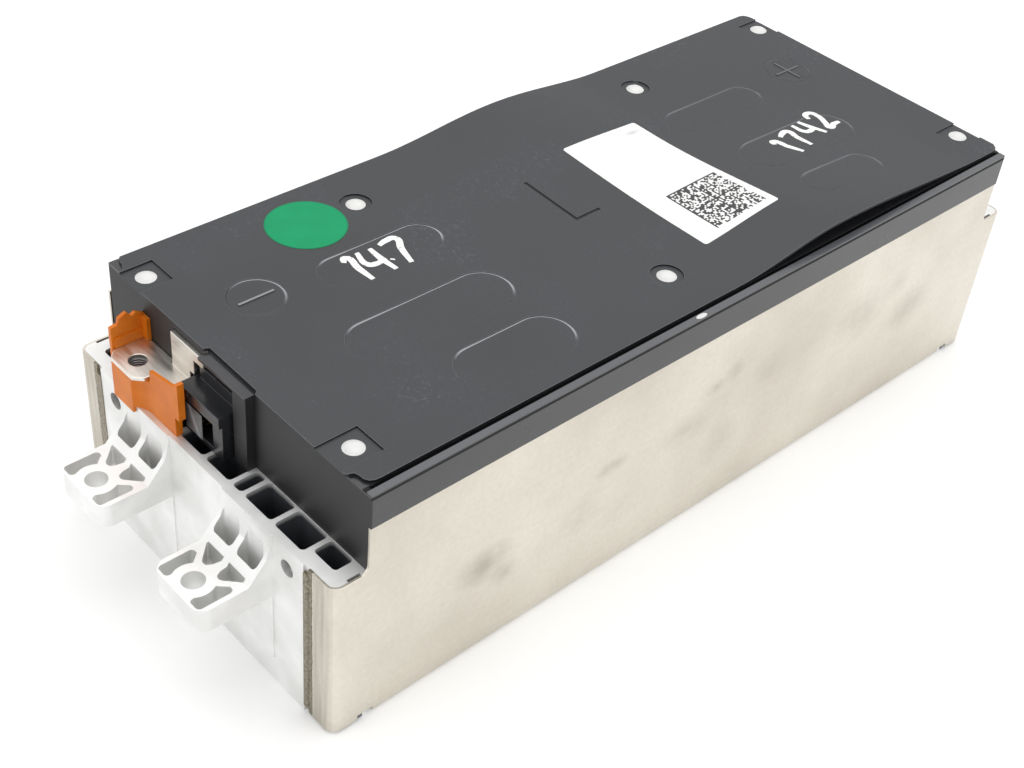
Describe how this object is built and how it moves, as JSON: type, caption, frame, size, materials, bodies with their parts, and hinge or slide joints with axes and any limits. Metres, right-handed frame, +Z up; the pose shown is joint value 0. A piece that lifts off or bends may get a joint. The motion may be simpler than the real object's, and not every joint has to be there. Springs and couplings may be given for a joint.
{
  "type": "battery module",
  "caption": "Prismatic-cell traction battery module: cells clamped between cast end plates with bolt ears and steel side plates, under a riveted cover, with orange terminal shrouds.",
  "frame": {"origin": "centre of the underside, midway between the two end plates and the two side plates", "axes": "+Z up through the top cover, +Y along the module from the connector end to the far end, +X across it, away from the terminals"},
  "size_m": [0.1473, 0.411, 0.1038],
  "materials": {
    "cast_aluminium": "as-cast and machined aluminium, satin",
    "stainless_steel": "cold-rolled stainless sheet, satin, smudged",
    "cell_can": "aluminium can in blue insulating film",
    "spacer_sheet": "thin pale insulating sheet",
    "insulator_plastic": "matt moulded plastic",
    "insulating_film": "thin film",
    "carrier_plastic": "matt moulded plastic",
    "link_aluminium": "rolled aluminium, laser welded",
    "terminal_metal": "bright plated bar",
    "nut_steel": "plated steel",
    "orange_plastic": "satin orange moulding",
    "flex_film": "film with copper tracks",
    "connector_plastic": "black moulding",
    "pin_metal": "plated pins",
    "inner_cover_plastic": "black moulding, slightly glossy",
    "cover_sheet": "thermoformed dark grey sheet, satin",
    "rivet_plastic": "white push rivets"
  },
  "bodies": {
    "root": {"end_plate_front": "cast_aluminium", "end_plate_rear": "cast_aluminium", "side_plate_left": "stainless_steel", "side_plate_right": "stainless_steel", "cell_01": "cell_can", "cell_02": "cell_can", "cell_03": "cell_can", "cell_04": "cell_can", "cell_05": "cell_can", "cell_06": "cell_can", "cell_07": "cell_can", "cell_08": "cell_can", "cell_09": "cell_can", "cell_10": "cell_can", "cell_11": "cell_can", "cell_12": "cell_can", "spacer_01": "spacer_sheet", "spacer_02": "spacer_sheet", "spacer_03": "spacer_sheet", "spacer_04": "spacer_sheet", "spacer_05": "spacer_sheet", "spacer_06": "spacer_sheet", "spacer_07": "spacer_sheet", "spacer_08": "spacer_sheet", "spacer_09": "spacer_sheet", "spacer_10": "spacer_sheet", "spacer_11": "spacer_sheet", "end_insulator_front": "insulator_plastic", "end_insulator_rear": "insulator_plastic", "side_insulator_left": "insulating_film", "side_insulator_right": "insulating_film", "contact_carrier": "carrier_plastic", "link_busbar_1": "link_aluminium", "link_busbar_2": "link_aluminium", "link_busbar_3": "link_aluminium", "output_busbar_front": "terminal_metal", "output_busbar_rear": "terminal_metal", "terminal_nut_front": "nut_steel", "terminal_nut_rear": "nut_steel", "terminal_cover_front": "orange_plastic", "terminal_cover_rear": "orange_plastic", "flex_circuit": "flex_film", "signal_connector": "connector_plastic", "connector_pins": "pin_metal", "inner_cover": "inner_cover_plastic", "top_cover": "cover_sheet", "cover_rivets": "rivet_plastic"}
  },
  "joints": []
}
